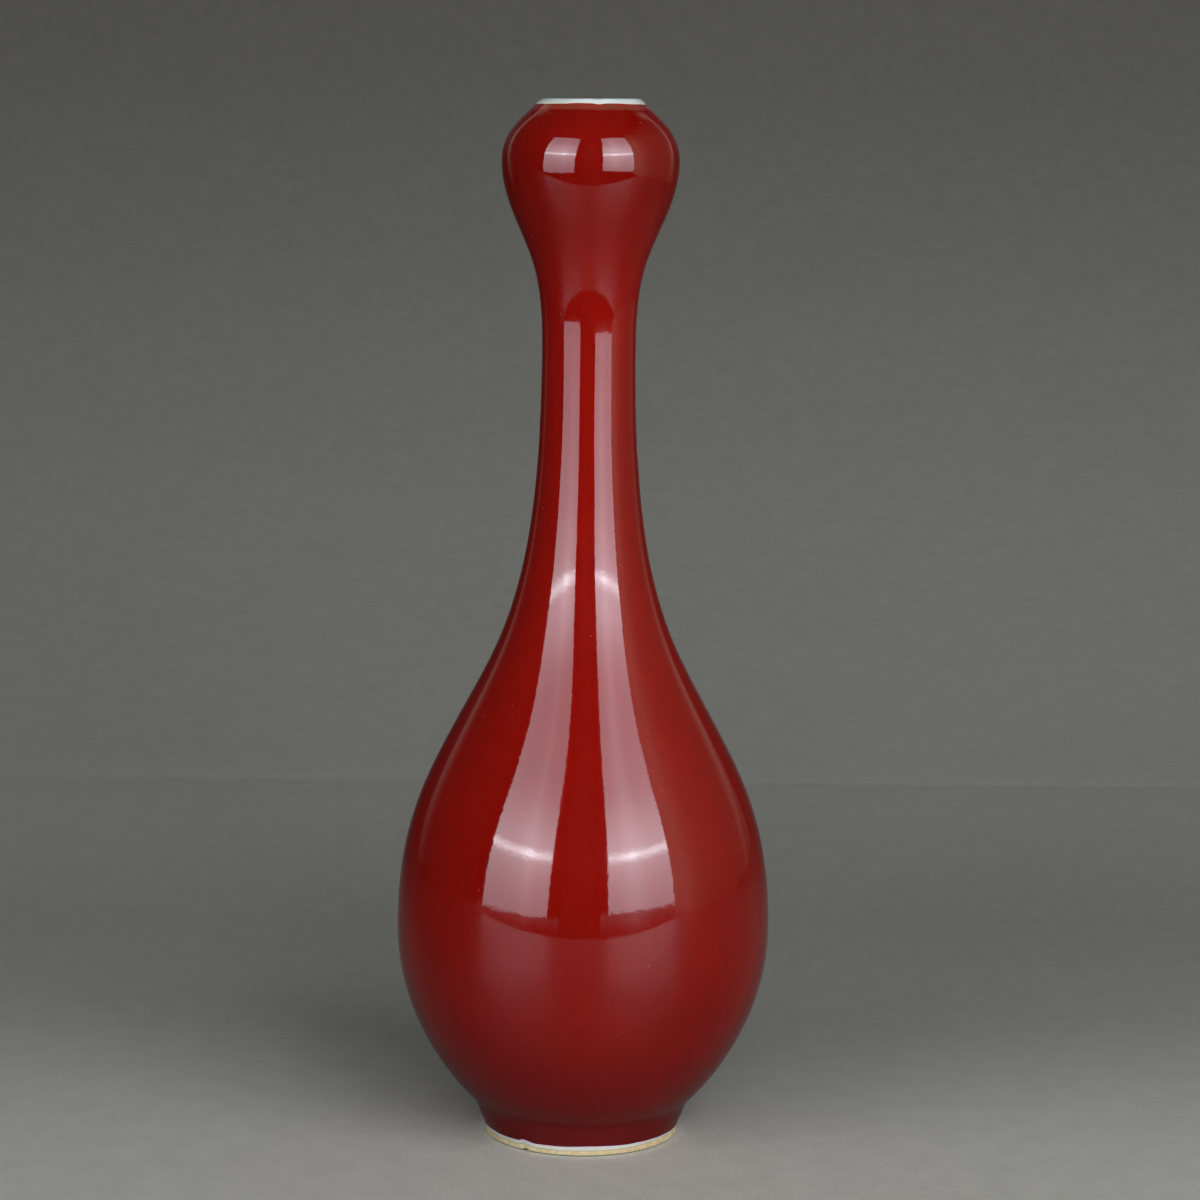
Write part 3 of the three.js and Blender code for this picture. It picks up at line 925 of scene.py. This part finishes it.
# The right wall is a glowing panel that stands for a lit pale wall, seen only in the glaze
WALL_TONES = ((57, 0.95), (66, 0.85), (71, 0.6), (80, 0.35), (100, 0.2), (120, 0.15), (137.5, 0.12))
WALL_FACING = 90
WALL_EDGES = (57, 137.5)
WALL_HEIGHTS = (0.0, 2.8)
WALL_TOP_FADE = (38, 62)
WALL_LOW_FADE = (-6, 6)
WALL_LOW_SHARE = 0.75
ARCH_DISTANCE = 1.5
ARCH_SWING = 0.45
ARCH_TOP = 60
ARCH_WIDTHS = (7, 3.5)
ARCH_NARROWING = (15, 48)
ARCH_SHARPNESS = 2.8
ARCH_END = (44, 54)
ARCH_FADE = (-8, 30)
ARCH_STRENGTHS = (0.04, 0.42)
ARCHES = (("left_arch", -137, (-154, -120), 130), ("right_arch", 137, (120, 154), 126.5))
ROOM_TONE = 0.03


def flat_mesh(name, points, faces):
    """A piece of the studio, made of flat faces."""
    mesh = bpy.data.meshes.new(name)
    mesh.from_pydata(points, [], faces)
    made = bpy.data.objects.new(name, mesh)
    bpy.context.scene.collection.objects.link(made)
    return made


def graded(tree, value, tones):
    """A tone that depends on a value, smooth through the given pairs of value and tone."""
    first, last = tones[0][0], tones[-1][0]
    inputs = {"Value": value, "From Min": first, "From Max": last}
    along = add(tree, "ShaderNodeMapRange", inputs).outputs[0]
    ramp = add(tree, "ShaderNodeValToRGB", {0: along})
    ramp.color_ramp.interpolation = "CARDINAL"
    stops = ramp.color_ramp.elements
    while len(stops) < len(tones):
        stops.new(0.5)
    for stop, (at, tone) in zip(stops, tones):
        stop.position = (at - first) / (last - first)
        stop.color = (tone, tone, tone, 1)
    return ramp.outputs[0]


def paper_material(name, tones, shade, roughness):
    """Paper whose tone goes by the way along it from front to back and up, times a shade that
    depends on the place. Both are painted light and shade."""
    material, tree, shader, place = new_material(name)
    parts = add(tree, "ShaderNodeSeparateXYZ", {"Vector": place}).outputs
    way = plus(tree, parts["Y"], parts["Z"])
    mottle = noise(tree, place, MOTTLE_SIZE, detail=4, rough=CRISP)
    mottled = range_of(tree, mottle, *NOISE_RANGE, *MOTTLE_TONES)
    fibres = range_of(tree, noise(tree, place, FIBRE_SIZE, rough=CRISP), *NOISE_RANGE, *FIBRE_TONES)
    tone = times(tree, graded(tree, way, tones), times(tree, mottled, fibres))
    tone = times(tree, tone, shade(tree, place, parts["X"], way))
    warmth = blend(tree, range_of(tree, way, *PAPER_WARMTH_TURN), PAPER_WARMTH, PAPER_WARMTH_HIGH)
    tree.links.new(scaled(tree, warmth, tone), shader.inputs["Base Color"])
    shader.inputs["Roughness"].default_value = roughness
    return material


def seen_shade(tree, place, x, way):
    """Painted light: paler close round the foot, for the light that the foot throws back, a little
    paler to the right, and paler on the left about half way back along the table, where less light falls."""
    away = add(tree, "ShaderNodeVectorMath", {0: place}, operation="LENGTH").outputs["Value"]
    gleam = range_of(tree, away, *FOOT_GLEAM_REACH, FOOT_GLEAM, 1.0)
    across = times(tree, gleam, range_of(tree, x, *ACROSS_REACH, *ACROSS_GAINS))
    left = range_of(tree, x, *LEFT_REACH, LEFT_GAIN, 1.0)
    middle = bell(tree, minus(tree, way, LEFT_MIDDLE), LEFT_WIDTH)
    left_gain = plus(tree, times(tree, minus(tree, left, 1.0), middle), 1.0)
    return times(tree, across, left_gain)


def mirrored_shade(tree, place, x, way):
    """Painted shade: darker far to the left, and at the back away from the middle."""
    left = range_of(tree, x, *MIRRORED_LEFT_REACH, MIRRORED_LEFT_SHADE, 1.0)
    aside = math_of(tree, "ABSOLUTE", azimuth_of(tree, place))
    behind = range_of(tree, aside, *MIRRORED_BACK_AZIMUTHS, MIRRORED_BACK_SHADE, 1.0)
    far = range_of(tree, way, *MIRRORED_BACK_START)
    lost = times(tree, far, minus(tree, 1.0, behind))
    return times(tree, left, minus(tree, 1.0, lost))


def table_and_sweep(name, material, radius, mirrored):
    """The paper on the table and up the back. One is seen, and another is what the glaze mirrors."""
    turns = np.radians(np.linspace(-UPRIGHT, 0, SWEEP_STEPS + 1))
    curve = [
        (SWEEP_END - radius + radius * math.cos(turn), radius * (1 + math.sin(turn)))
        for turn in turns
    ]
    line = [(TABLE_FRONT, 0), *curve, (SWEEP_END, SWEEP_TOP)]
    points = [(x, y, z) for y, z in line for x in (-TABLE_HALF_WIDTH, TABLE_HALF_WIDTH)]
    faces = [(2 * i, 2 * i + 1, 2 * i + 3, 2 * i + 2) for i in range(len(line) - 1)]
    table = flat_mesh(name, points, faces)
    table.data.shade_smooth()
    table.data.materials.append(material)
    table.visible_diffuse = False
    table.visible_camera = not mirrored
    table.visible_glossy = mirrored
    table.visible_shadow = False


def direction(azimuth):
    """Level unit vector at an azimuth, which is 0 towards the camera and grows to the right."""
    return np.array([math.sin(math.radians(azimuth)), -math.cos(math.radians(azimuth)), 0])


def azimuth_of(tree, place):
    """Azimuth of a place in degrees, 0 towards the camera and growing to the right."""
    parts = add(tree, "ShaderNodeSeparateXYZ", {"Vector": place}).outputs
    turn = math_of(tree, "ARCTAN2", parts["X"], times(tree, parts["Y"], -1.0))
    return times(tree, turn, 180 / math.pi)


def elevation_of(tree, place, distance):
    """Angle in degrees above the eye height, as seen from the vase at a distance."""
    height = add(tree, "ShaderNodeSeparateXYZ", {"Vector": place}).outputs["Z"]
    rise = math_of(tree, "DIVIDE", minus(tree, height, EYE_HEIGHT), distance)
    return times(tree, math_of(tree, "ARCTANGENT", rise), 180 / math.pi)


def shining(panel, radiance, mirrored, see_through=False, colour=LIGHT_COLOUR):
    """Gives a panel its light. It shows in the glaze alone, or it lights the matt surfaces alone."""
    material = bpy.data.materials.new(panel.name + "_light")
    material.use_nodes = True
    tree = material.node_tree
    tree.nodes.remove(tree.nodes["Principled BSDF"])
    place = add(tree, "ShaderNodeTexCoord").outputs["Object"]
    light = add(tree, "ShaderNodeEmission", {"Color": (*colour, 1), "Strength": radiance(tree, place)})
    shader = light.outputs[0]
    if see_through:
        clear = add(tree, "ShaderNodeBsdfTransparent")
        both = add(tree, "ShaderNodeAddShader")
        tree.links.new(light.outputs[0], both.inputs[0])
        tree.links.new(clear.outputs[0], both.inputs[1])
        shader = both.outputs[0]
    tree.links.new(shader, tree.nodes["Material Output"].inputs["Surface"])
    panel.data.materials.append(material)
    panel.visible_camera = False
    panel.visible_shadow = False
    panel.visible_glossy = mirrored
    panel.visible_diffuse = not mirrored


def soft_box(name, facing, edges, distance, heights, radiance, lean=(0, 0), **light):
    """A tall upright panel of light. It stands square to a facing azimuth, at a distance from
    the vase, with its edges at two azimuths. At its top they lean aside by some degrees."""
    out, side = direction(facing), direction(facing + UPRIGHT)
    points = []
    for height, share in zip(heights, (0, 1)):
        for edge, turn in zip(edges, lean):
            aside = distance * math.tan(math.radians(edge + share * turn - facing))
            points.append(tuple(out * distance + side * aside + np.array([0, 0, height])))
    shining(flat_mesh(name, points, [(0, 1, 3, 2)]), radiance, **light)


def boxed_lamp(name, facing, edges, distance, heights, lean, strength, flags):
    """A soft box that the glaze mirrors, and black flags beside it that stop its lamp there."""
    light = {"mirrored": True, "see_through": True}
    soft_box(name, facing, edges, distance, heights, steady(strength), lean, **light)
    for number, flag in enumerate(flags):
        turn = lean[0] if flag[1] == edges[0] else lean[1]
        flag_name = f"{name}_flag_{number}"
        soft_box(flag_name, facing, flag, distance, heights, steady(0), (turn, turn), mirrored=True)


def fill(name, facing, edges, heights, strength):
    """An even soft box that lights the matt surfaces alone."""
    soft_box(name, facing, edges, BOX_DISTANCE, heights, steady(strength), mirrored=False)


def key_light(name, azimuth, elevation, distance, size, strength):
    """A square panel of light that faces the vase, for the matt surfaces."""
    level, rise = math.cos(math.radians(elevation)), math.sin(math.radians(elevation))
    towards = direction(azimuth) * level + np.array([0, 0, rise])
    side = direction(azimuth + UPRIGHT) * size / 2
    up = np.cross(towards, direction(azimuth + UPRIGHT)) * size / 2
    centre = towards * distance + np.array([0, 0, VASE_MIDDLE])
    points = [tuple(centre + side * a + up * b) for a, b in ((-1, -1), (1, -1), (1, 1), (-1, 1))]
    shining(flat_mesh(name, points, [(0, 1, 2, 3)]), steady(strength), mirrored=False)


def bell(tree, value, width):
    """A bell curve, 1 where the value is 0."""
    share = math_of(tree, "DIVIDE", value, width)
    return math_of(tree, "EXPONENT", times(tree, times(tree, share, share), -1.0))


def lamp(name, azimuths, hot, power, glow_width, ray_width, ray_strength):
    """What shines through a soft box: a level line of light round the vase, brightest at one
    azimuth, and a wide glow that is tall above the line and short below it."""
    columns = [direction(azimuth) * LAMP_DISTANCE for azimuth in np.linspace(*azimuths, LAMP_COLUMNS)]
    points = [tuple(column + np.array([0, 0, z])) for column in columns for z in LAMP_HEIGHTS]
    faces = [(2 * i, 2 * i + 2, 2 * i + 3, 2 * i + 1) for i in range(LAMP_COLUMNS - 1)]

    def radiance(tree, place):
        elevation = elevation_of(tree, place, LAMP_DISTANCE)
        above = minus(tree, elevation, LAMP_ELEVATION)
        aside = minus(tree, azimuth_of(tree, place), hot)
        below = math_of(tree, "EXPONENT", math_of(tree, "DIVIDE", above, GLOW_BELOW))
        is_above = math_of(tree, "GREATER_THAN", above, 0.0)
        upper = times(tree, bell(tree, above, GLOW_ABOVE), is_above)
        lower = times(tree, below, minus(tree, 1.0, is_above))
        level = plus(tree, times(tree, bell(tree, aside, glow_width), GLOW_HOT_SHARE), GLOW_EVEN_SHARE)
        glow = times(tree, times(tree, plus(tree, upper, lower), level), GLOW_STRENGTH)
        hot_line = plus(tree, times(tree, bell(tree, aside, HOT_WIDTH), HOT_STRENGTH), LINE_STRENGTH)
        line = times(tree, bell(tree, above, LINE_WIDTH), hot_line)
        ray = times(tree, bell(tree, aside, ray_width), ray_strength)
        total = plus(tree, plus(tree, glow, line), ray)
        return times(tree, times(tree, total, range_of(tree, elevation, *GLOW_END)), power)

    shining(flat_mesh(name, points, faces), radiance, mirrored=True)


def wall_light(tree, place):
    """The glow of a panel that stands for a lit pale wall, graded by the azimuth, with a soft top and a
    soft lower end.
    """
    elevation = elevation_of(tree, place, BOX_DISTANCE)
    top = range_of(tree, elevation, *WALL_TOP_FADE, 1.0, 0.0)
    ends = times(tree, top, range_of(tree, elevation, *WALL_LOW_FADE, WALL_LOW_SHARE, 1.0))
    return times(tree, graded(tree, azimuth_of(tree, place), WALL_TONES), ends)


def arch_light(foot):
    """Half of a pointed arch of light: its azimuth, at first that of its foot, swings out with
    the height up to its bend, and back in above it."""
    def radiance(tree, place):
        elevation = elevation_of(tree, place, ARCH_DISTANCE)
        outwards = times(tree, elevation, ARCH_SWING)
        inwards = times(tree, minus(tree, ARCH_TOP, elevation), 2 * ARCH_SWING)
        middle = plus(tree, math_of(tree, "MINIMUM", outwards, inwards), foot)
        aside = minus(tree, math_of(tree, "ABSOLUTE", azimuth_of(tree, place)), middle)
        inner = times(tree, aside, -1.0)
        skewed = math_of(tree, "MAXIMUM", times(tree, aside, ARCH_SHARPNESS), inner)
        rise = range_of(tree, elevation, *ARCH_FADE, *ARCH_STRENGTHS)
        top = range_of(tree, elevation, *ARCH_END, 1.0, 0.0)
        width = range_of(tree, elevation, *ARCH_NARROWING, *ARCH_WIDTHS)
        return times(tree, times(tree, bell(tree, skewed, width), rise), top)
    return radiance


def steady(value):
    """The same light all over a panel."""
    return lambda tree, place: value


def studio():
    """A pale paper, its tone painted with the fall of light and shade, lies on the table and sweeps
    up behind. In front stand two tall soft boxes with a lamp shining through each, on the right a
    glowing panel stands for a lit pale wall, and behind are two halves of an arch of light. What the
    glaze mirrors and what lights the matt surfaces are separate panels."""
    seen = paper_material("paper_painted_with_light_and_shade", PAPER_TONES, seen_shade, PAPER_ROUGHNESS)
    mirrored = paper_material("mirrored_paper", MIRRORED_TONES, mirrored_shade, MIRRORED_ROUGHNESS)
    table_and_sweep("paper", seen, SWEEP_RADIUS, mirrored=False)
    table_and_sweep("mirrored_paper", mirrored, MIRRORED_SWEEP_RADIUS, mirrored=True)
    boxed_lamp("left_soft_box", **LEFT_BOX)
    boxed_lamp("right_soft_box", **RIGHT_BOX)
    fill("left_fill", **LEFT_FILL)
    fill("right_fill", **RIGHT_FILL)
    fill("wall_fill", **WALL_FILL)
    key_light("key_fill", **KEY_FILL)
    lamp("left_lamp", **LEFT_LAMP)
    lamp("right_lamp", **RIGHT_LAMP)
    warm = {"mirrored": True, "colour": WARM_LIGHT}
    soft_box("glowing_right_wall", WALL_FACING, WALL_EDGES, BOX_DISTANCE, WALL_HEIGHTS, wall_light, **warm)
    warm["see_through"] = True
    for name, facing, edges, foot in ARCHES:
        soft_box(name, facing, edges, ARCH_DISTANCE, WALL_HEIGHTS, arch_light(foot), **warm)
    world = bpy.data.worlds.new("room")
    world.use_nodes = True
    background = world.node_tree.nodes["Background"]
    background.inputs["Color"].default_value = (ROOM_TONE, ROOM_TONE, ROOM_TONE, 1)
    bpy.context.scene.world = world
    bpy.context.scene.view_settings.view_transform = "Standard"


# Camera, fitted to the outline of the vase
CAMERA_PLACE = (0, -1.0381, 0.32)
CAMERA_LENS = 102.435
CAMERA_SENSOR = 36
CAMERA_DOWN = 8.346
CAMERA_RIGHT = 0.232
CAMERA_ROLL = 0.622


def camera():
    """The view of the vase, from the front and a little above."""
    data = bpy.data.cameras.new("camera")
    data.lens = CAMERA_LENS
    data.sensor_width = CAMERA_SENSOR
    made = bpy.data.objects.new("camera", data)
    turn = (
        Matrix.Rotation(-math.radians(CAMERA_RIGHT), 4, "Z")
        @ Matrix.Rotation(math.radians(UPRIGHT - CAMERA_DOWN), 4, "X")
        @ Matrix.Rotation(math.radians(CAMERA_ROLL), 4, "Z")
    )
    made.matrix_world = Matrix.Translation(CAMERA_PLACE) @ turn
    bpy.context.scene.collection.objects.link(made)
    bpy.context.scene.camera = made


build_vase()
studio()
camera()
